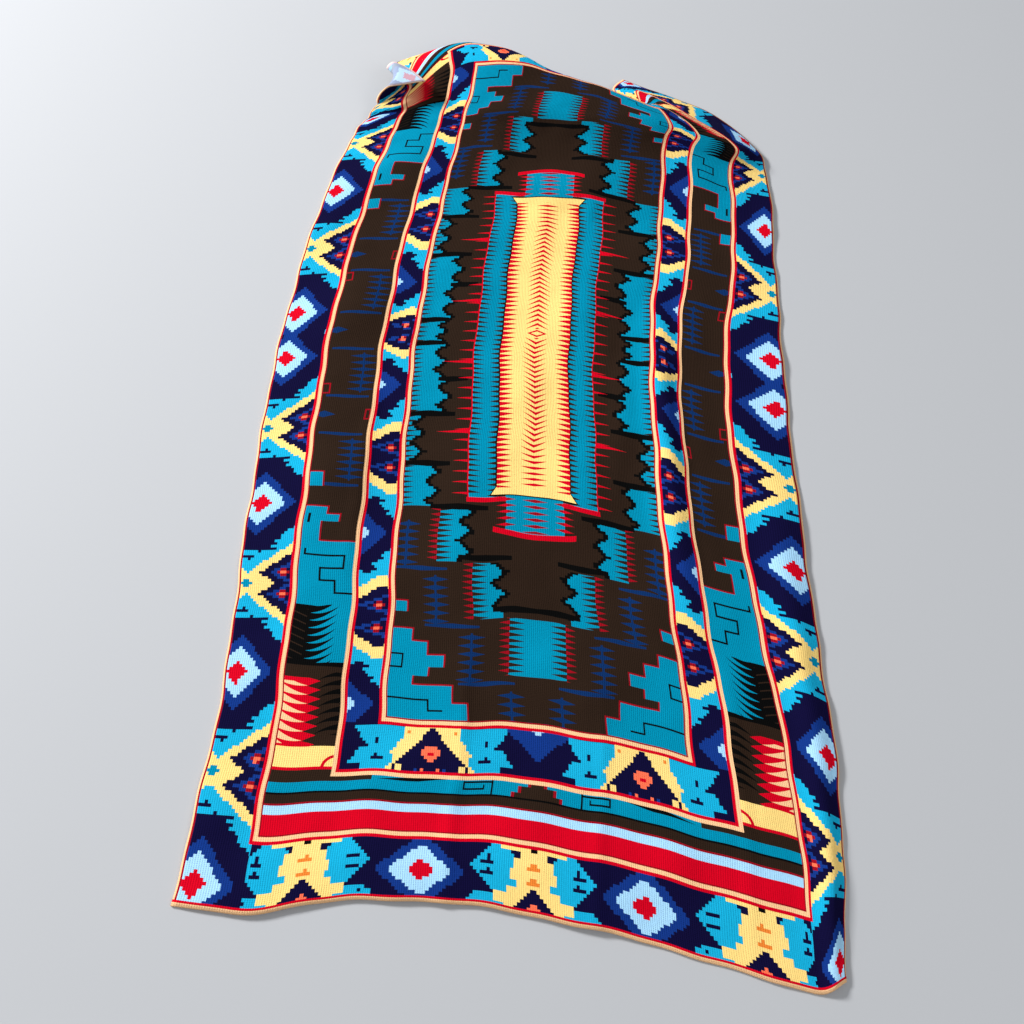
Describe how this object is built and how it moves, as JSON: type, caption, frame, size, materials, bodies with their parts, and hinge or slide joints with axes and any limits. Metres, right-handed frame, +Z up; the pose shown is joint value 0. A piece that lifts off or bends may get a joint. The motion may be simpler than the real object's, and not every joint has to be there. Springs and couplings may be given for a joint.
{
  "type": "throw blanket",
  "caption": "Long knitted throw blanket with a stepped geometric pattern, spread out face up on a flat surface, its far end drawn together and tucked under and one corner turned over.",
  "frame": {"origin": "middle of the cloth's overall outline, on the surface it lies on", "axes": "+Z up out of the surface, +Y along the cloth towards its gathered far end, +X towards its right side"},
  "size_m": [0.9206, 1.624, 0.0745],
  "materials": {
    "knit": "matt jacquard knit in dark blue, brown, turquoise, light blue, red, cream and yellow yarn, with a washed-out reverse"
  },
  "bodies": {
    "root": {"throw": "knit"}
  },
  "joints": []
}
